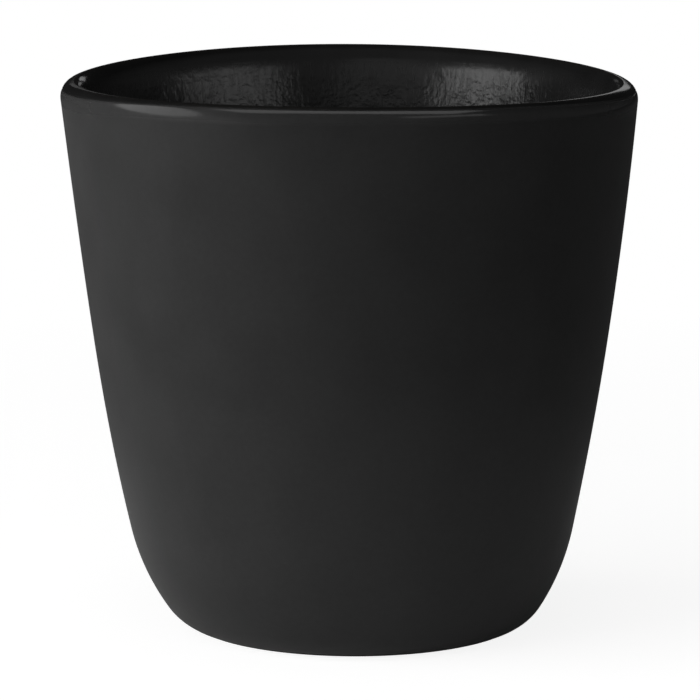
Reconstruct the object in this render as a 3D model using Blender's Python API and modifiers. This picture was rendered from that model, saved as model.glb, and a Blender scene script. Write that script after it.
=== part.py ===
"""Handleless stoneware mug: a turned clay body and its fired glaze layers.

Metres, +Z up, standing on z = 0 with the axis of the cup on the Z axis.
A station is a point of the finished surface with its outward normal: (radius, height, normal r, normal z).
"""

import math

import bpy

# Outside of the finished mug, from the rim down; a tilt is how far the surface faces below the horizontal
HEIGHT = 0.0832
RIM_RADIUS = 0.043
WALL_TILT_TOP = math.radians(5.7)
WALL_TILT_MIDDLE = math.radians(8.2)
WALL_TILT_BOTTOM = math.radians(12.3)
UPPER_WALL_SHARE = 0.56
CORNER_RADIUS = 0.0346
CORNER_END_TILT = math.radians(33.6)
EDGE_RADIUS = 0.0081

# Lip: half an ellipse outside and half an ellipse inside the crest
LIP_OUTER_WIDTH = 0.00205
LIP_OUTER_DROP = 0.00245
LIP_INNER_WIDTH = 0.00205
LIP_INNER_DROP = 0.0030

# Inside of the cup
INNER_TILT_TOP = math.radians(8.2)
INNER_TILT_BOTTOM = math.radians(8.8)
INNER_CORNER_RADIUS = 0.013
FLOOR_THICKNESS = 0.0066

# Glaze layers, and the clearance left between bodies that touch
GLAZE_THICKNESS = 0.00045
CLEARANCE = 0.0003
GLAZE_LINE = math.radians(38)
COAT_END_TILT = math.radians(68)

# Foot ring and the recess inside it
FOOT_RING_WIDTH = 0.0040
FOOT_ROUND = 0.0006
RECESS_DEPTH = 0.0014

# Fineness of the turned shapes
TURN_STEPS = 60
MERGE_DISTANCE = 0.00001
LIP_POINTS = 9
WALL_POINTS = 5
CORNER_POINTS = 7

# Finishes: linear colour and roughness
CLAY_FINISH = ((0.030, 0.027, 0.025), 0.85)
GLOSS_FINISH = ((0.008, 0.008, 0.008), 0.12)
MATTE_FINISH = ((0.020, 0.020, 0.020), 0.50)

# Values that follow from the sizes above
UPRIGHT = math.radians(90)
CREST_RADIUS = RIM_RADIUS - LIP_OUTER_WIDTH
CLAY_INSET = GLAZE_THICKNESS + CLEARANCE


def spread(first, last, count):
    """Evenly spaced values from first to last, both included."""
    return [first + (last - first) * i / (count - 1) for i in range(count)]


def lip(side, width, drop, first, last):
    """Part of the lip between two angles of its ellipse; side is 1 outside the crest and -1 inside it."""
    stations = []
    for angle in spread(first, last, LIP_POINTS):
        across = math.cos(angle)
        up = math.sin(angle)
        length = math.hypot(across / width, up / drop)
        normal = (side * across / width / length, up / drop / length)
        stations.append((CREST_RADIUS + side * width * across, HEIGHT - drop + drop * up, *normal))
    return stations


def arc(start, radius, first, last, side, count):
    """Tangent arc that runs down from a station while its tilt goes from first to last."""
    centre_r = start[0] - radius * math.cos(first)
    centre_z = start[1] + radius * math.sin(first)
    stations = []
    for tilt in spread(first, last, count)[1:]:
        across = math.cos(tilt)
        down = math.sin(tilt)
        stations.append((centre_r + radius * across, centre_z - radius * down, side * across, -side * down))
    return stations


def arc_radius(drop, first, last):
    """Radius of the arc that falls by drop while its tilt goes from first to last."""
    return drop / (math.sin(last) - math.sin(first))


def outer_wall(first_lip_angle):
    """Finished outside from an angle on the lip down to where the bottom edge starts."""
    last_lip_angle = -math.atan(math.tan(WALL_TILT_TOP) * LIP_OUTER_DROP / LIP_OUTER_WIDTH)
    stations = lip(1, LIP_OUTER_WIDTH, LIP_OUTER_DROP, first_lip_angle, last_lip_angle)
    corner_drop = CORNER_RADIUS * (math.sin(CORNER_END_TILT) - math.sin(WALL_TILT_BOTTOM))
    edge_drop = EDGE_RADIUS * (1 - math.sin(CORNER_END_TILT))
    wall_drop = stations[-1][1] - corner_drop - edge_drop
    upper = arc_radius(wall_drop * UPPER_WALL_SHARE, WALL_TILT_TOP, WALL_TILT_MIDDLE)
    lower = arc_radius(wall_drop * (1 - UPPER_WALL_SHARE), WALL_TILT_MIDDLE, WALL_TILT_BOTTOM)
    stations += arc(stations[-1], upper, WALL_TILT_TOP, WALL_TILT_MIDDLE, 1, WALL_POINTS)
    stations += arc(stations[-1], lower, WALL_TILT_MIDDLE, WALL_TILT_BOTTOM, 1, WALL_POINTS)
    stations += arc(stations[-1], CORNER_RADIUS, WALL_TILT_BOTTOM, CORNER_END_TILT, 1, CORNER_POINTS)
    return stations


def inner_wall():
    """Finished inside from the crest of the lip down to the middle of the floor."""
    last_lip_angle = math.atan(math.tan(INNER_TILT_TOP) * LIP_INNER_DROP / LIP_INNER_WIDTH)
    stations = lip(-1, LIP_INNER_WIDTH, LIP_INNER_DROP, UPRIGHT, last_lip_angle)
    corner_drop = INNER_CORNER_RADIUS * (1 - math.sin(INNER_TILT_BOTTOM))
    wall_drop = stations[-1][1] - FLOOR_THICKNESS - corner_drop
    wall = arc_radius(wall_drop, INNER_TILT_TOP, INNER_TILT_BOTTOM)
    stations += arc(stations[-1], wall, INNER_TILT_TOP, INNER_TILT_BOTTOM, -1, WALL_POINTS)
    stations += arc(stations[-1], INNER_CORNER_RADIUS, INNER_TILT_BOTTOM, UPRIGHT, -1, CORNER_POINTS)
    stations.append((0, FLOOR_THICKNESS, 0, 1))
    return stations


def inset(stations, depth):
    """Profile points that lie a depth under the finished surface."""
    return [(r - normal_r * depth, z - normal_z * depth) for r, z, normal_r, normal_z in stations]


def layer(stations, depth):
    """Closed profile of a glaze layer: its surface, then its back."""
    return inset(stations, 0) + inset(stations, depth)[::-1]


def turned(name, profile, closed, finish, collection):
    """Solid of revolution of a profile that has its material on the right hand as it runs."""
    links = [(i, i + 1) for i in range(len(profile) - 1)]
    if closed:
        links.append((len(profile) - 1, 0))
    mesh = bpy.data.meshes.new(name)
    mesh.from_pydata([(r, 0, z) for r, z in profile], links, [])
    piece = bpy.data.objects.new(name, mesh)
    collection.objects.link(piece)
    screw = piece.modifiers.new("Turn", "SCREW")
    screw.axis = "Z"
    screw.steps = TURN_STEPS
    screw.render_steps = TURN_STEPS
    screw.use_merge_vertices = True
    screw.merge_threshold = MERGE_DISTANCE
    screw.use_smooth_shade = True
    piece.modifiers.new("Shading", "WEIGHTED_NORMAL")
    colour, roughness = finish
    material = bpy.data.materials.new(name)
    material.use_nodes = True
    shader = material.node_tree.nodes["Principled BSDF"]
    shader.inputs["Base Color"].default_value = (*colour, 1)
    shader.inputs["Roughness"].default_value = roughness
    mesh.materials.append(material)


def body_profile(inner, outer, foot_start, foot_edge, foot_inner):
    """Clay: up the inside, over the lip, down the outside, then the foot ring and its recess."""
    centre = (foot_inner + FOOT_ROUND, FOOT_ROUND)
    foot_curve = [
        (centre[0] - FOOT_ROUND * math.sin(angle), centre[1] - FOOT_ROUND * math.cos(angle))
        for angle in spread(0, UPRIGHT, WALL_POINTS)
    ]
    ceiling = RECESS_DEPTH + CLAY_INSET
    under = inset(outer, CLAY_INSET) + inset(foot_start, CLAY_INSET) + inset(foot_edge, 0)
    return inset(inner, CLAY_INSET)[:0:-1] + under + foot_curve + [(foot_inner, ceiling), (0, ceiling)]


for thing in list(bpy.data.objects):
    bpy.data.objects.remove(thing)
mug = bpy.data.collections.new("stoneware_mug")
bpy.context.scene.collection.children.link(mug)

# Surfaces that the pieces share
inside = inner_wall()
outside = outer_wall(UPRIGHT)
dry_tilt = COAT_END_TILT + CLEARANCE / EDGE_RADIUS
coat_end = arc(outside[-1], EDGE_RADIUS, CORNER_END_TILT, COAT_END_TILT, 1, CORNER_POINTS)
clay_end = arc(outside[-1], EDGE_RADIUS, CORNER_END_TILT, dry_tilt, 1, CORNER_POINTS)
foot_edge = [clay_end[-1]] + arc(clay_end[-1], EDGE_RADIUS, dry_tilt, UPRIGHT, 1, WALL_POINTS)
foot_inner = foot_edge[-1][0] - FOOT_RING_WIDTH

# Clay
body = body_profile(inside, outside, clay_end, foot_edge, foot_inner)
turned("stoneware_body", body, False, CLAY_FINISH, mug)

# Gloss glaze inside and over the lip
line_gap = CLEARANCE / math.hypot(LIP_OUTER_WIDTH * math.sin(GLAZE_LINE), LIP_OUTER_DROP * math.cos(GLAZE_LINE))
over_lip = lip(1, LIP_OUTER_WIDTH, LIP_OUTER_DROP, UPRIGHT, GLAZE_LINE + line_gap)
turned("gloss_lining", layer(inside[:0:-1] + over_lip, GLAZE_THICKNESS), False, GLOSS_FINISH, mug)

# Matte glaze outside
turned("matte_coat", layer(outer_wall(GLAZE_LINE) + coat_end, GLAZE_THICKNESS), True, MATTE_FINISH, mug)

# Matte glaze in the recess under the foot ring
patch_radius = foot_inner - CLEARANCE
patch_top = RECESS_DEPTH + GLAZE_THICKNESS
patch = [(0, patch_top), (patch_radius, patch_top), (patch_radius, RECESS_DEPTH), (0, RECESS_DEPTH)]
turned("base_glaze", patch, False, MATTE_FINISH, mug)
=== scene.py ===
"""Handleless black stoneware mug: two glazes over a clay body, on a pale floor in soft studio light.

Every piece is a turned surface. Its section is a run of distances along the finished surface, each with a
lift above or below that surface, carried round the axis and bent by the small unevenness of a hand-made cup.
Lengths are metres and angles radians.
"""

import math

import bpy
import numpy as np
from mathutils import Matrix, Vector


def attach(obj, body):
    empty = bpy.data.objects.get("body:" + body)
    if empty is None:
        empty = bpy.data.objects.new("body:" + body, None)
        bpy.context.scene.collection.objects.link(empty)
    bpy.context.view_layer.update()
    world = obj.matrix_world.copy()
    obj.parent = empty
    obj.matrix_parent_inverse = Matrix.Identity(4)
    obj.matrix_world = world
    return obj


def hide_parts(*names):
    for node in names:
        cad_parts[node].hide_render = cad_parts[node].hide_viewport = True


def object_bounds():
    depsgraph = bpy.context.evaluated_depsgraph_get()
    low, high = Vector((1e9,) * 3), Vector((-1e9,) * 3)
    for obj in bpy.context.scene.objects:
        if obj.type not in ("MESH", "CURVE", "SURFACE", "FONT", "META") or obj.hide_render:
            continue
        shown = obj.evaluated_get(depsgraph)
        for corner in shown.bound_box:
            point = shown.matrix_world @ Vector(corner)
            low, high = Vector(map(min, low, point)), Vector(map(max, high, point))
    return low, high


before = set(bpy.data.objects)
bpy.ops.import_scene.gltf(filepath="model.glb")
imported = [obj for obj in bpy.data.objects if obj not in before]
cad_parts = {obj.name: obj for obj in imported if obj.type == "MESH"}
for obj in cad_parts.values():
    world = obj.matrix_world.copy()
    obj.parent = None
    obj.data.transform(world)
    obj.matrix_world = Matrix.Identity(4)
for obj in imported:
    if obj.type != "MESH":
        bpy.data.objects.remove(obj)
cad_low, cad_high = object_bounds()

MM = 0.001

# Finished cup: overall size from the frame, the rest as in the solids, with a longer ease inside the lip
RIM_RADIUS = cad_high.x
HEIGHT = cad_high.z
WALL_TILT_TOP = math.radians(5.7)
WALL_TILT_MIDDLE = math.radians(8.2)
WALL_TILT_BOTTOM = math.radians(12.3)
UPPER_WALL_SHARE = 0.56
CORNER_RADIUS = 34.6 * MM
CORNER_END_TILT = math.radians(33.6)
EDGE_RADIUS = 8.1 * MM
LIP_OUTER_WIDTH = 2.05 * MM
LIP_OUTER_DROP = 2.45 * MM
LIP_INNER_WIDTH = 2.05 * MM
LIP_INNER_DROP = 5.0 * MM
INNER_TILT_TOP = math.radians(8.2)
INNER_TILT_BOTTOM = math.radians(8.8)
INNER_CORNER_RADIUS = 13.0 * MM
FLOOR_THICKNESS = 6.6 * MM
FOOT_RING_WIDTH = 4.0 * MM
FOOT_ROUND = 0.6 * MM
RECESS_DEPTH = 1.4 * MM
CREST_RADIUS = RIM_RADIUS - LIP_OUTER_WIDTH
UPRIGHT = math.pi / 2

# Glaze layers
GLAZE_THICKNESS = 0.45 * MM
EDGE_THICKNESS = 0.03 * MM
GLAZE_LINE_BELOW_CREST = 0.65 * MM
GLAZE_LINE_SAG = 1.55 * MM
GLAZE_OVERLAP = 0.5 * MM
BEAD_WIDTH = 0.6 * MM
MELT_WIDTH = 4.0 * MM
COAT_END_TILT = math.radians(68)

# Unevenness of the hand-made cup
RIM_TILT = -0.18 * MM
RIM_SAG = -0.48 * MM
RIM_WAVE_DEPTH = 26 * MM
LEAN = (-0.48 * MM, 1.61 * MM, -2.50 * MM, 1.86 * MM)

# Satin glaze: linear colours, roughness, depth of texture and sizes of its clouds
SATIN_BLACK = (0.032, 0.032, 0.032, 1)
# Paler satin where the glaze thins at its edges and where it is rubbed; along the glaze line on the shoulder
# this paler band is also a little painted highlight
SATIN_THIN_WORN_AND_PAINTED_SHEEN = (0.045, 0.044, 0.043, 1)
SATIN_ROUGHNESS = 0.42
MELTED_ROUGHNESS = 0.14
FULLY_MELTED = 0.65
SATIN_SPECULAR = 0.3
SATIN_BUMP = 0.006 * MM
SATIN_PEBBLES = {"Pebble Size": 0.35 * MM}
SATIN_CLOUDS = {"Patch Size": 11 * MM, "Depth": 0.08}
RECESS_CLOUDS = {"Patch Size": 5 * MM, "Depth": 0.08}
SATIN_MOTTLE = {"Patch Size": 0.9 * MM, "Depth": 0.06}
SATIN_WEAR = 0.5

# Gloss glaze
GLOSS_BLACK = (0.010, 0.010, 0.010, 1)
GLOSS_THIN = (0.014, 0.013, 0.012, 1)
GLOSS_ROUGHNESS = 0.10
STREAKED_ROUGHNESS = (0.20, 0.30)
GLOSS_BUMP = 0.060 * MM
GLOSS_CLOUDS = {"Patch Size": 6 * MM, "Depth": 0.15}
MARK_HEIGHT = 0.5
PEBBLES_START = 2.0 * MM
PEBBLES_FULL = 4.4 * MM
LIP_PEBBLES = 0.1
STREAKS_START = 0.8 * MM
STREAKS_FULL = 2.2 * MM

# Bare clay
CLAY_GREY = (0.030, 0.027, 0.025, 1)
CLAY_GRAINS = (0.012, 0.011, 0.010, 1)
CLAY_RUBBED = (0.060, 0.054, 0.050, 1)
CLAY_ROUGHNESS = (0.75, 0.95)
CLAY_BUMP = 0.06 * MM
CLAY_CLOUDS = {"Patch Size": 4 * MM, "Depth": 0.2}
CLAY_WEAR = 0.4
CLAY_WEAR_REACH = {"Reach": 1 * MM}

# Studio
FLOOR_SPAN = 3.0
FLOOR_GREY = (0.2, 0.2, 0.2, 1)
FLOOR_ROUGHNESS = 0.9
FLOOR_CLOUDS = {"Patch Size": 60 * MM, "Depth": 0.02}
CARD_WHITE = (0.85, 0.85, 0.85, 1)
CARD_RADIUS = 0.09
CARD_EDGE = 0.135
SHADOW_GREY = (0.4, 0.4, 0.4, 1)
SHADOW_GLOW = 0.88
SHADOW_FULL = 0.15
SHADOW_REACH = 0.3
ROOM_FRONT = 0.10
ROOM_BACK = 0.01
ROOM_DARK_SIDE = (0, 1, 1)
ROOM_FADE = (0.35, 0.9)
LAMP_DISTANCE = 0.9
SHARE_OF_BOX = {"RECTANGLE": 1.0, "ELLIPSE": math.pi / 4}

# Pieces that some lamps light alone
LINING = "gloss_lining_glaze"
COAT = "satin_outer_glaze"

# Fineness of the grids
AROUND_STEPS = 256
LIP_POINTS = 36
WALL_POINTS = 36
CORNER_POINTS = 28
FLOOR_POINTS = 12

# Camera, found from the outline in the photograph
CAMERA_DISTANCE = 774 * MM
CAMERA_HEIGHT = 173.06 * MM
CAMERA_SIDE = -0.32 * MM
CAMERA_PITCH = math.radians(9.612)
CAMERA_LENS = 268.65
SENSOR_WIDTH = 36.0


def lip_half(side, width, drop, angles):
    """Half of the lip: an ellipse about the crest and its normals; side is 1 outside, -1 inside."""
    across = np.cos(angles)
    up = np.sin(angles)
    size = np.hypot(across / width, up / drop)
    place = (CREST_RADIUS + side * width * across, HEIGHT - drop + drop * up)
    return np.stack([*place, side * across / width / size, up / drop / size], axis=1)


def bow(start, radius, first, last, side, count):
    """Arc that goes on from a point without a kink: centre plus radius times (cos tilt, -sin tilt)."""
    tilts = np.linspace(first, last, count)
    facing = np.stack([np.cos(tilts), -np.sin(tilts)], axis=1)
    centre = start[:2] - radius * facing[0]
    return np.hstack([centre + radius * facing, side * facing])[1:]


def bow_radius(drop, first, last):
    """Radius of the arc that falls by drop while its tilt goes from first to last."""
    return drop / (math.sin(last) - math.sin(first))


def outside_run():
    """Finished outside from the crest to the foot: lip, two wall arcs, corner arc and bottom edge arc."""
    last = -math.atan(math.tan(WALL_TILT_TOP) * LIP_OUTER_DROP / LIP_OUTER_WIDTH)
    run = lip_half(1, LIP_OUTER_WIDTH, LIP_OUTER_DROP, np.linspace(UPRIGHT, last, LIP_POINTS))
    corner_drop = CORNER_RADIUS * (math.sin(CORNER_END_TILT) - math.sin(WALL_TILT_BOTTOM))
    wall_drop = run[-1, 1] - corner_drop - EDGE_RADIUS * (1 - math.sin(CORNER_END_TILT))
    upper = bow_radius(wall_drop * UPPER_WALL_SHARE, WALL_TILT_TOP, WALL_TILT_MIDDLE)
    lower = bow_radius(wall_drop * (1 - UPPER_WALL_SHARE), WALL_TILT_MIDDLE, WALL_TILT_BOTTOM)
    for radius, first, end, count in (
        (upper, WALL_TILT_TOP, WALL_TILT_MIDDLE, WALL_POINTS),
        (lower, WALL_TILT_MIDDLE, WALL_TILT_BOTTOM, WALL_POINTS),
        (CORNER_RADIUS, WALL_TILT_BOTTOM, CORNER_END_TILT, CORNER_POINTS),
        (EDGE_RADIUS, CORNER_END_TILT, UPRIGHT, CORNER_POINTS),
    ):
        run = np.vstack([run, bow(run[-1], radius, first, end, 1, count)])
    return run


def inside_run():
    """Finished inside from the crest to the middle of the floor: lip, wall arc, corner arc, flat floor."""
    last = math.atan(math.tan(INNER_TILT_TOP) * LIP_INNER_DROP / LIP_INNER_WIDTH)
    run = lip_half(-1, LIP_INNER_WIDTH, LIP_INNER_DROP, np.linspace(UPRIGHT, last, LIP_POINTS))
    corner_drop = INNER_CORNER_RADIUS * (1 - math.sin(INNER_TILT_BOTTOM))
    wall = bow_radius(run[-1, 1] - FLOOR_THICKNESS - corner_drop, INNER_TILT_TOP, INNER_TILT_BOTTOM)
    run = np.vstack([run, bow(run[-1], wall, INNER_TILT_TOP, INNER_TILT_BOTTOM, -1, 2 * WALL_POINTS)])
    run = np.vstack([run, bow(run[-1], INNER_CORNER_RADIUS, INNER_TILT_BOTTOM, UPRIGHT, -1, CORNER_POINTS)])
    floor_radius = np.linspace(run[-1, 0], 0, FLOOR_POINTS)[1:]
    level = np.ones_like(floor_radius)
    floor_run = np.stack([floor_radius, FLOOR_THICKNESS * level, 0 * level, level], axis=1)
    return np.vstack([run, floor_run])


def lengths_of(run):
    """Distance along a run at each of its points."""
    return np.concatenate([[0], np.cumsum(np.hypot(*np.diff(run[:, :2], axis=0).T))])


def bend(radius, height, around):
    """Turned grid made uneven: x leans by a curve of the depth, the rim tilts and sags by cosines."""
    depth = 1 - height / HEIGHT
    lean = LEAN[0] + LEAN[1] * depth + LEAN[2] * depth**2 + LEAN[3] * depth**4
    near_rim = np.clip(1 - (HEIGHT - height) / RIM_WAVE_DEPTH, 0, None) ** 2
    lift = near_rim * (RIM_TILT * np.cos(around) + RIM_SAG * np.cos(2 * around))
    return np.stack([radius * np.cos(around) + lean, radius * np.sin(around), height + lift], axis=-1)


def on_skin(along, lift, around):
    """Grid on the finished surface at distances along it, moved out by lift along its normal, then bent."""
    radius, height, out_r, out_z = (np.interp(along, SKIN_LENGTHS, column) for column in SKIN.T)
    size = np.hypot(out_r, out_z)
    return bend(radius + lift * out_r / size, height + lift * out_z / size, around)


def rings_to_mesh(name, rings, poles, fields):
    """Closed mesh of rings of points joined by quads; the end rings close in poles or on each other."""
    count, steps = rings.shape[:2]
    points = rings.reshape(-1, 3)
    grid = np.arange(count * steps).reshape(count, steps)
    if poles:
        body = grid[1:-1]
    else:
        body = np.vstack([grid, grid[:1]])
    turned = np.roll(body, -1, axis=1)
    quads = np.stack([body[:-1], body[1:], turned[1:], turned[:-1]], axis=-1).reshape(-1, 4)
    corners = [quads.ravel()]
    sizes = [np.full(len(quads), 4)]
    if poles:
        top = np.full(steps, grid[0, 0])
        bottom = np.full(steps, grid[-1, 0])
        caps = np.vstack([
            np.stack([top, body[0], turned[0]], axis=-1),
            np.stack([bottom, turned[-1], body[-1]], axis=-1),
        ])
        corners.append(caps.ravel())
        sizes.append(np.full(len(caps), 3))
    corners = np.concatenate(corners)
    sizes = np.concatenate(sizes)
    used, corners = np.unique(corners, return_inverse=True)
    points = points[used]
    mesh = bpy.data.meshes.new(name)
    mesh.vertices.add(len(points))
    mesh.vertices.foreach_set("co", points.ravel())
    mesh.loops.add(len(corners))
    mesh.loops.foreach_set("vertex_index", corners.ravel())
    mesh.polygons.add(len(sizes))
    mesh.polygons.foreach_set("loop_start", np.concatenate([[0], np.cumsum(sizes)[:-1]]))
    mesh.polygons.foreach_set("use_smooth", np.ones(len(sizes), bool))
    for field, values in fields.items():
        mesh.attributes.new(field, "FLOAT", "POINT").data.foreach_set("value", values.reshape(-1)[used])
    mesh.update(calc_edges=True)
    mesh.validate()
    return mesh


def add_piece(name, mesh, node, material):
    """Piece that stands for a solid of the frame and moves with it."""
    piece = bpy.data.objects.new(name, mesh)
    bpy.context.scene.collection.objects.link(piece)
    mesh.materials.append(material)
    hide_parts(node)
    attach(piece, "root")
    return piece


def bead(distance):
    """Rounded edge of a glaze: a quarter circle from 0 at the edge to 1 a bead width away."""
    share = np.clip(distance / BEAD_WIDTH, 0, 1)
    return np.sqrt(1 - (1 - share) ** 2)


def glaze_line(around):
    """Distance along the skin where the gloss glaze ends: below the crest, and sagging at the two sides."""
    return CREST + GLAZE_LINE_BELOW_CREST + GLAZE_LINE_SAG * np.cos(around) ** 4


def lining_rings(around):
    """Gloss glaze: from the middle of the floor over the lip to the glaze line, then back along the clay."""
    nominal = SKIN_LENGTHS[SKIN_LENGTHS <= CREST + GLAZE_LINE_BELOW_CREST][:, None]
    end = glaze_line(around) + GLAZE_OVERLAP
    stretch = (end - CREST) / (nominal[-1] - CREST)
    along = np.where(nominal > CREST, CREST + (nominal - CREST) * stretch, nominal)
    lift = (GLAZE_THICKNESS - EDGE_THICKNESS) * (bead(end - along) - 1)
    front = on_skin(along, lift, around)
    back = on_skin(along[::-1], -GLAZE_THICKNESS, around)
    thin = np.exp(-(((along - CREST) / BEAD_WIDTH) ** 2))
    return np.concatenate([front, back]), {"thin_glaze": np.vstack([thin, 0 * thin])}


def coat_rings(around):
    """Satin glaze: from the glaze line down the outside to above the foot, then back along the clay."""
    start = glaze_line(around)
    below_line = SKIN_LENGTHS >= CREST + GLAZE_LINE_BELOW_CREST
    nominal = SKIN_LENGTHS[below_line & (SKIN_LENGTHS <= COAT_END)][:, None]
    reach = np.clip((WIDEST - nominal) / (WIDEST - nominal[0]), 0, 1)
    along = nominal + reach * (start - nominal[0])
    top_edge = bead(along - start)
    foot_edge = bead(COAT_END - along)
    lift = (GLAZE_THICKNESS - EDGE_THICKNESS) * (top_edge * foot_edge - 1)
    front = on_skin(along, lift, around)
    back = on_skin(along[::-1], -GLAZE_THICKNESS, around)
    # Thin glaze at both edges of the coat; the band at the glaze line on the shoulder also carries a little
    # painted highlight
    thin = 1 - top_edge * foot_edge
    melted = np.clip(1 - (along - start) / MELT_WIDTH, 0, 1)
    melted = melted**2 * (3 - 2 * melted)
    fields = {"thin_glaze": np.vstack([thin, 0 * thin]), "melted_glaze": np.vstack([melted, 0 * melted])}
    return np.concatenate([front, back]), fields


def clay_rings(around):
    """Clay: under the glazes from the floor over the lip to the foot, then the flat ring and the recess."""
    along = SKIN_LENGTHS[:, None] + 0 * around
    bare = np.clip((along - COAT_END) / BEAD_WIDTH + 0.5, 0, 1)
    skin = on_skin(along, -(GLAZE_THICKNESS + EDGE_THICKNESS) * (1 - bare), around)
    foot_inner = SKIN[-1, 0] - FOOT_RING_WIDTH
    turn = np.linspace(0, UPRIGHT, CORNER_POINTS)
    radius = np.concatenate([
        np.linspace(SKIN[-1, 0], foot_inner + FOOT_ROUND, FLOOR_POINTS)[1:-1],
        foot_inner + FOOT_ROUND * (1 - np.sin(turn)),
        np.full(FLOOR_POINTS, foot_inner),
        np.linspace(foot_inner, 0, FLOOR_POINTS)[1:],
    ])
    ceiling = RECESS_DEPTH + GLAZE_THICKNESS + EDGE_THICKNESS
    height = np.concatenate([
        np.zeros(FLOOR_POINTS - 2),
        FOOT_ROUND * (1 - np.cos(turn)),
        np.linspace(FOOT_ROUND, ceiling, FLOOR_POINTS + 1)[1:],
        np.full(FLOOR_POINTS - 1, ceiling),
    ])
    under = bend(radius[:, None] + 0 * around, height[:, None] + 0 * around, around)
    return np.concatenate([skin, under]), {}


def patch_rings(around):
    """Satin glaze in the recess: a disc that climbs a little at its edge, then its flat back."""
    reach = SKIN[-1, 0] - FOOT_RING_WIDTH - EDGE_THICKNESS
    radius = reach * np.sin(np.linspace(0, UPRIGHT, 3 * FLOOR_POINTS))
    climb = GLAZE_THICKNESS * np.exp(-(reach - radius) / BEAD_WIDTH)
    radius = np.concatenate([radius, radius[::-1]])
    height = np.concatenate([RECESS_DEPTH - climb, np.full(len(climb), RECESS_DEPTH + GLAZE_THICKNESS)])
    return bend(radius[:, None] + 0 * around, height[:, None] + 0 * around, around)[::-1], {}


# The finished surface as one run from the middle of the floor, over the lip, to the foot
inside = inside_run()
outside = outside_run()
SKIN = np.vstack([inside[:0:-1], outside])
SKIN_LENGTHS = lengths_of(SKIN)
CREST = SKIN_LENGTHS[len(inside) - 1]
WIDEST = SKIN_LENGTHS[len(inside) + LIP_POINTS]
COAT_END = SKIN_LENGTHS[-1] - EDGE_RADIUS * (UPRIGHT - COAT_END_TILT)


def add_node(tree, kind, sockets, **settings):
    """Shader node of a kind: settings are its properties, sockets its inputs as values or links."""
    node = tree.nodes.new("ShaderNode" + kind)
    for name, value in settings.items():
        setattr(node, name, value)
    for name, value in sockets.items():
        if isinstance(value, bpy.types.NodeSocket):
            tree.links.new(value, node.inputs[name])
        else:
            node.inputs[name].default_value = value
    return node


def maths(tree, operation, first, second):
    """Sum, product or other operation on two values."""
    return add_node(tree, "Math", {0: first, 1: second}, operation=operation).outputs[0]


def remap(tree, value, from_low, from_high, low, high):
    """Value carried from one range to another, held at its ends."""
    sockets = {"Value": value, "From Min": from_low, "From Max": from_high, "To Min": low, "To Max": high}
    return add_node(tree, "MapRange", sockets).outputs["Result"]


def blend(tree, share, first, second):
    """Colour between two colours."""
    return add_node(tree, "Mix", {0: share, 6: first, 7: second}, data_type="RGBA").outputs[2]


def toned(tree, colour, tone):
    """Colour multiplied by a tone."""
    sockets = {0: 1.0, 6: colour, 7: tone}
    return add_node(tree, "Mix", sockets, data_type="RGBA", blend_type="MULTIPLY").outputs[2]


def new_group(name, inputs, outputs):
    """Shader node group that takes a place and named values and gives named values."""
    group = bpy.data.node_groups.new(name, "ShaderNodeTree")
    group.interface.new_socket("Place", in_out="INPUT", socket_type="NodeSocketVector")
    for socket_name, default in inputs.items():
        socket = group.interface.new_socket(socket_name, in_out="INPUT", socket_type="NodeSocketFloat")
        socket.default_value = default
    for socket_name in outputs:
        group.interface.new_socket(socket_name, in_out="OUTPUT", socket_type="NodeSocketFloat")
    return group, group.nodes.new("NodeGroupInput").outputs, group.nodes.new("NodeGroupOutput").inputs


def noise_of(tree, place, size, detail):
    """Smooth noise between 0 and 1 whose lumps have a size."""
    fineness = maths(tree, "DIVIDE", 1.0, size)
    return add_node(tree, "TexNoise", {"Vector": place, "Scale": fineness, "Detail": detail}).outputs[0]


def make_cloudy_tone():
    """Slow drift of a fired colour: noise of a patch size carried to 1 plus or minus a depth."""
    group, given, result = new_group("cloudy_tone", {"Patch Size": 9 * MM, "Depth": 0.1}, ["Tone"])
    patches = noise_of(group, given["Place"], given["Patch Size"], 4.0)
    lightest = maths(group, "ADD", 1.0, given["Depth"])
    darkest = maths(group, "SUBTRACT", 1.0, given["Depth"])
    group.links.new(remap(group, patches, 0.3, 0.7, darkest, lightest), result["Tone"])
    return group


def make_pebbled_surface():
    """Dimpled skin of a melted glaze: noise of a pebble size plus higher and wider lumps."""
    sizes = {"Pebble Size": 0.75 * MM, "Lump Size": 3 * MM, "Lump Height": 1.5}
    group, given, result = new_group("pebbled_surface", sizes, ["Height"])
    pebbles = noise_of(group, given["Place"], given["Pebble Size"], 1.0)
    lumps = noise_of(group, given["Place"], given["Lump Size"], 0.0)
    lumps = maths(group, "MULTIPLY", lumps, given["Lump Height"])
    group.links.new(maths(group, "ADD", pebbles, lumps), result["Height"])
    return group


def make_run_marks():
    """Marks of a glaze that ran down: noise squeezed across and stretched along the height."""
    group, given, result = new_group("run_marks", {"Width": 0.55 * MM, "Length": 5 * MM}, ["Marks"])
    across = maths(group, "DIVIDE", 1.0, given["Width"])
    along = maths(group, "DIVIDE", 1.0, given["Length"])
    stretch = add_node(group, "CombineXYZ", {0: across, 1: across, 2: along}).outputs[0]
    place = add_node(group, "VectorMath", {0: given["Place"], 1: stretch}, operation="MULTIPLY").outputs[0]
    group.links.new(add_node(group, "TexNoise", {"Vector": place, "Scale": 1.0}).outputs[0], result["Marks"])
    return group


def make_sandy_grain():
    """Fired sand: fine noise for the height, and the middles of scattered cells for the dark grains."""
    group, given, result = new_group("sandy_grain", {"Grain Size": 0.25 * MM}, ["Height", "Specks"])
    grains = noise_of(group, given["Place"], given["Grain Size"], 2.0)
    spacing = maths(group, "DIVIDE", 0.25, given["Grain Size"])
    cells = add_node(group, "TexVoronoi", {"Vector": given["Place"], "Scale": spacing}).outputs["Distance"]
    group.links.new(grains, result["Height"])
    group.links.new(remap(group, cells, 0.08, 0.2, 1.0, 0.0), result["Specks"])
    return group


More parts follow.
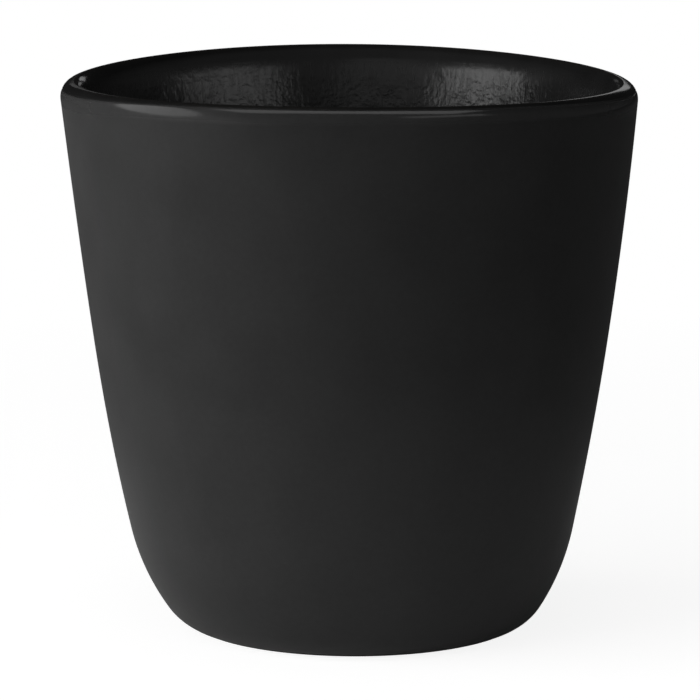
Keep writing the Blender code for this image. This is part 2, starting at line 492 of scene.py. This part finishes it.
def make_foot_wear():
    """Rubbing near the table: full at the foot and gone at a reach above it, broken up by noise."""
    group, given, result = new_group("foot_wear", {"Reach": 5 * MM, "Scuff Size": 0.8 * MM}, ["Worn"])
    height = add_node(group, "SeparateXYZ", {0: given["Place"]}).outputs["Z"]
    low = remap(group, height, 0.0, given["Reach"], 1.0, 0.0)
    scuffs = noise_of(group, given["Place"], given["Scuff Size"], 3.0)
    group.links.new(maths(group, "MULTIPLY", low, remap(group, scuffs, 0.5, 0.7, 0.0, 1.0)), result["Worn"])
    return group


def new_finish(name):
    """Fresh material with its node tree, its shader and the place on the piece in metres."""
    material = bpy.data.materials.new(name)
    material.use_nodes = True
    tree = material.node_tree
    return material, tree, tree.nodes["Principled BSDF"], add_node(tree, "TexCoord", {}).outputs["Object"]


def connect(tree, shader, colour, roughness, height, depth):
    """Colour, roughness and a bump of a real depth into a shader."""
    bump = add_node(tree, "Bump", {"Distance": depth, "Height": height})
    tree.links.new(colour, shader.inputs["Base Color"])
    tree.links.new(roughness, shader.inputs["Roughness"])
    tree.links.new(bump.outputs["Normal"], shader.inputs["Normal"])


def effect(tree, group, place, sizes):
    """Outputs of a shared effect at a place, with the sizes that differ from its own."""
    return add_node(tree, "Group", {"Place": place, **sizes}, node_tree=group).outputs


def satin_finish(name, cloud_sizes):
    """Satin black glaze: cloudy, finely pebbled, greyer where thin or rubbed, shinier and with a little
    painted highlight at the glaze line.
    """
    material, tree, shader, place = new_finish(name)
    thin = add_node(tree, "Attribute", {}, attribute_name="thin_glaze").outputs["Fac"]
    melted = add_node(tree, "Attribute", {}, attribute_name="melted_glaze").outputs["Fac"]
    clouds = effect(tree, cloudy_tone, place, cloud_sizes)["Tone"]
    mottle = effect(tree, cloudy_tone, place, SATIN_MOTTLE)["Tone"]
    pebbles = effect(tree, pebbled_surface, place, SATIN_PEBBLES)["Height"]
    worn = effect(tree, foot_wear, place, {})["Worn"]
    worn = maths(tree, "MULTIPLY", worn, SATIN_WEAR)
    # Paler where the glaze is thin; at the glaze line on the shoulder this is partly real thin glaze and
    # partly a painted highlight
    colour = blend(tree, thin, SATIN_BLACK, SATIN_THIN_WORN_AND_PAINTED_SHEEN)
    colour = blend(tree, worn, colour, SATIN_THIN_WORN_AND_PAINTED_SHEEN)
    colour = toned(tree, colour, maths(tree, "MULTIPLY", clouds, mottle))
    roughness = remap(tree, melted, 0.0, FULLY_MELTED, SATIN_ROUGHNESS, MELTED_ROUGHNESS)
    roughness = maths(tree, "MULTIPLY", roughness, clouds)
    shader.inputs["Specular IOR Level"].default_value = SATIN_SPECULAR
    connect(tree, shader, colour, roughness, pebbles, SATIN_BUMP)
    return material


def gloss_finish():
    """Gloss black glaze: pebbled and streaked below the lip, a little warmer where it thins on the crest."""
    material, tree, shader, place = new_finish("gloss_glaze")
    thin = add_node(tree, "Attribute", {}, attribute_name="thin_glaze").outputs["Fac"]
    clouds = effect(tree, cloudy_tone, place, GLOSS_CLOUDS)["Tone"]
    marks = effect(tree, run_marks, place, {})["Marks"]
    pebbles = effect(tree, pebbled_surface, place, {})["Height"]
    height = add_node(tree, "SeparateXYZ", {0: place}).outputs["Z"]
    below = remap(tree, height, HEIGHT - PEBBLES_FULL, HEIGHT - PEBBLES_START, 1.0, LIP_PEBBLES)
    surface = maths(tree, "ADD", pebbles, maths(tree, "MULTIPLY", marks, MARK_HEIGHT))
    surface = maths(tree, "MULTIPLY", below, surface)
    colour = toned(tree, blend(tree, thin, GLOSS_BLACK, GLOSS_THIN), clouds)
    streaked = remap(tree, marks, 0.3, 0.7, *STREAKED_ROUGHNESS)
    roughness = remap(tree, height, HEIGHT - STREAKS_FULL, HEIGHT - STREAKS_START, streaked, GLOSS_ROUGHNESS)
    connect(tree, shader, colour, roughness, surface, GLOSS_BUMP)
    return material


def clay_finish():
    """Bare fired clay: dark and dry, sandy, with darker grains, paler where the foot is rubbed."""
    material, tree, shader, place = new_finish("bare_clay")
    clouds = effect(tree, cloudy_tone, place, CLAY_CLOUDS)["Tone"]
    grain = effect(tree, sandy_grain, place, {})
    worn = effect(tree, foot_wear, place, CLAY_WEAR_REACH)["Worn"]
    worn = maths(tree, "MULTIPLY", worn, CLAY_WEAR)
    colour = blend(tree, grain["Specks"], CLAY_GREY, CLAY_GRAINS)
    colour = toned(tree, blend(tree, worn, colour, CLAY_RUBBED), clouds)
    roughness = remap(tree, grain["Height"], 0.3, 0.7, *CLAY_ROUGHNESS)
    connect(tree, shader, colour, roughness, grain["Height"], CLAY_BUMP)
    return material


# Shared effects and the finishes made with them
cloudy_tone = make_cloudy_tone()
pebbled_surface = make_pebbled_surface()
run_marks = make_run_marks()
sandy_grain = make_sandy_grain()
foot_wear = make_foot_wear()
satin_glaze = satin_finish("satin_glaze", SATIN_CLOUDS)
recess_glaze = satin_finish("recess_glaze", RECESS_CLOUDS)
gloss_glaze = gloss_finish()
bare_clay = clay_finish()

# Pieces
turn_angles = np.linspace(0, 2 * math.pi, AROUND_STEPS, endpoint=False)
for piece_name, make_rings, poles, node, slot, finish in (
    ("clay_body", clay_rings, True, "stoneware_body", "clay", bare_clay),
    (LINING, lining_rings, True, "gloss_lining", "gloss_glaze", gloss_glaze),
    (COAT, coat_rings, False, "matte_coat", "matte_glaze", satin_glaze),
    ("satin_recess_glaze", patch_rings, True, "base_glaze", "base_matte_glaze", recess_glaze),
):
    rings, fields = make_rings(turn_angles)
    add_piece(piece_name, rings_to_mesh(piece_name, rings, poles, fields), node, finish)


def studio_floor():
    """Pale floor: white with the cup's shadow to the camera, a white card on grey to every other ray."""
    mesh = bpy.data.meshes.new("floor")
    corners = FLOOR_SPAN * np.array([(-1, -1, 0), (1, -1, 0), (1, 1, 0), (-1, 1, 0)])
    mesh.from_pydata(corners.tolist(), [], [(0, 1, 2, 3)])
    floor = bpy.data.objects.new("floor", mesh)
    bpy.context.scene.collection.objects.link(floor)
    material, tree, shader, place = new_finish("pale_floor")
    clouds = effect(tree, cloudy_tone, place, FLOOR_CLOUDS)["Tone"]
    distance = add_node(tree, "VectorMath", {0: place}, operation="LENGTH").outputs["Value"]
    beyond = remap(tree, distance, CARD_RADIUS, CARD_EDGE, 0.0, 1.0)
    colour = toned(tree, blend(tree, beyond, CARD_WHITE, FLOOR_GREY), clouds)
    tree.links.new(colour, shader.inputs["Base Color"])
    shader.inputs["Roughness"].default_value = FLOOR_ROUGHNESS
    open_floor = remap(tree, distance, SHADOW_FULL, SHADOW_REACH, 0.0, 1.0)
    shaded = add_node(tree, "BsdfDiffuse", {"Color": SHADOW_GREY})
    glow = add_node(tree, "Emission", {"Strength": SHADOW_GLOW})
    near = add_node(tree, "AddShader", {0: shaded.outputs[0], 1: glow.outputs[0]})
    white = add_node(tree, "Emission", {"Strength": 1.0})
    seen = add_node(tree, "MixShader", {0: open_floor, 1: near.outputs[0], 2: white.outputs[0]})
    camera_ray = add_node(tree, "LightPath", {}).outputs["Is Camera Ray"]
    both = add_node(tree, "MixShader", {0: camera_ray, 1: shader.outputs[0], 2: seen.outputs[0]})
    tree.links.new(both.outputs[0], tree.nodes["Material Output"].inputs["Surface"])
    mesh.materials.append(material)


def studio_room():
    """World: white to the camera and through glass, faint in the glazes, fainter behind and above them."""
    world = bpy.data.worlds.new("studio")
    bpy.context.scene.world = world
    world.use_nodes = True
    tree = world.node_tree
    path = add_node(tree, "LightPath", {}).outputs
    direction = add_node(tree, "TexCoord", {}).outputs["Generated"]
    sockets = {0: direction, 1: ROOM_DARK_SIDE}
    backward = add_node(tree, "VectorMath", sockets, operation="DOT_PRODUCT").outputs["Value"]
    room = remap(tree, backward, *ROOM_FADE, ROOM_FRONT, ROOM_BACK)
    mirrored = maths(tree, "MULTIPLY", path["Is Glossy Ray"], room)
    clear = maths(tree, "MAXIMUM", path["Is Camera Ray"], path["Is Transmission Ray"])
    background = tree.nodes["Background"].inputs
    background["Color"].default_value = (1, 1, 1, 1)
    tree.links.new(maths(tree, "MAXIMUM", clear, mirrored), background["Strength"])


def softbox(name, aim, size, radiance, tone=True, shine=True, lights=None, roll=0, shape="RECTANGLE"):
    """Flat lamp that looks at the rim from an azimuth to the right of the camera and an elevation.

    It brings out the tone of a surface, its shine or both, and lights everything or one piece alone.
    """
    lamp = bpy.data.lights.new(name, "AREA")
    lamp.shape = shape
    lamp.size, lamp.size_y = size
    lamp.energy = radiance * math.pi * lamp.size * lamp.size_y * SHARE_OF_BOX[shape]
    holder = bpy.data.objects.new(name, lamp)
    turn, rise = np.radians(aim)
    holder.location = (
        LAMP_DISTANCE * math.sin(turn) * math.cos(rise),
        -LAMP_DISTANCE * math.cos(turn) * math.cos(rise),
        HEIGHT + LAMP_DISTANCE * math.sin(rise),
    )
    holder.rotation_euler = (UPRIGHT - rise, math.radians(roll), turn)
    holder.visible_camera = False
    holder.visible_diffuse = tone
    holder.visible_glossy = shine
    bpy.context.scene.collection.objects.link(holder)
    if lights:
        lit = bpy.data.collections.new(name)
        lit.objects.link(bpy.data.objects[lights])
        holder.light_linking.receiver_collection = lit


# Floor, room and lamps
studio_floor()
studio_room()
softbox("left_wrap", aim=(-70, 5), size=(1.0, 0.5), radiance=5.9, shine=False)
softbox("left_edge", aim=(-135, 5), size=(0.8, 0.6), radiance=11.5, shine=False, lights=COAT)
softbox("right_edge", aim=(150, 5), size=(0.8, 0.6), radiance=2.2, shine=False, lights=COAT)
softbox("front_wrap", aim=(-15, 35), size=(0.8, 0.8), radiance=0.6, shine=False)
softbox("right_fill", aim=(50, 10), size=(1.0, 0.5), radiance=0.5, shine=False)
softbox("overhead", aim=(0, 88), size=(0.35, 0.35), radiance=1.8, shine=False)
softbox("rim_light", aim=(170, 9), size=(0.15, 0.1), radiance=0.42)
softbox("rim_glow", aim=(-171, 9), size=(0.1, 0.06), radiance=0.12, tone=False, lights=LINING)
softbox("low_window", aim=(-64, 5), size=(0.77, 0.38), radiance=2.6, lights=LINING, shape="ELLIPSE")
softbox("low_front", aim=(-15, 10), size=(0.7, 0.55), radiance=0.22, lights=LINING, shape="ELLIPSE")
softbox("low_card", aim=(62, 5), size=(1.15, 0.3), radiance=1.05, lights=LINING, roll=13, shape="ELLIPSE")
softbox("lip_strip", aim=(0, 82), size=(1.1, 0.45), radiance=1.5, tone=False, lights=COAT)
softbox("right_line", aim=(46, 42), size=(0.5, 0.16), radiance=0.9, tone=False, lights=COAT)
softbox(
    "left_glint", aim=(-95, 32), size=(0.95, 0.5), radiance=1.8,
    tone=False, lights=COAT, roll=28, shape="ELLIPSE",
)

# Camera
camera_data = bpy.data.cameras.new("camera")
camera_data.sensor_width = SENSOR_WIDTH
camera_data.lens = CAMERA_LENS
camera = bpy.data.objects.new("camera", camera_data)
camera.location = (CAMERA_SIDE, -CAMERA_DISTANCE, CAMERA_HEIGHT)
camera.rotation_euler = (UPRIGHT - CAMERA_PITCH, 0, 0)
bpy.context.scene.collection.objects.link(camera)
bpy.context.scene.camera = camera
bpy.context.scene.view_settings.view_transform = "Standard"
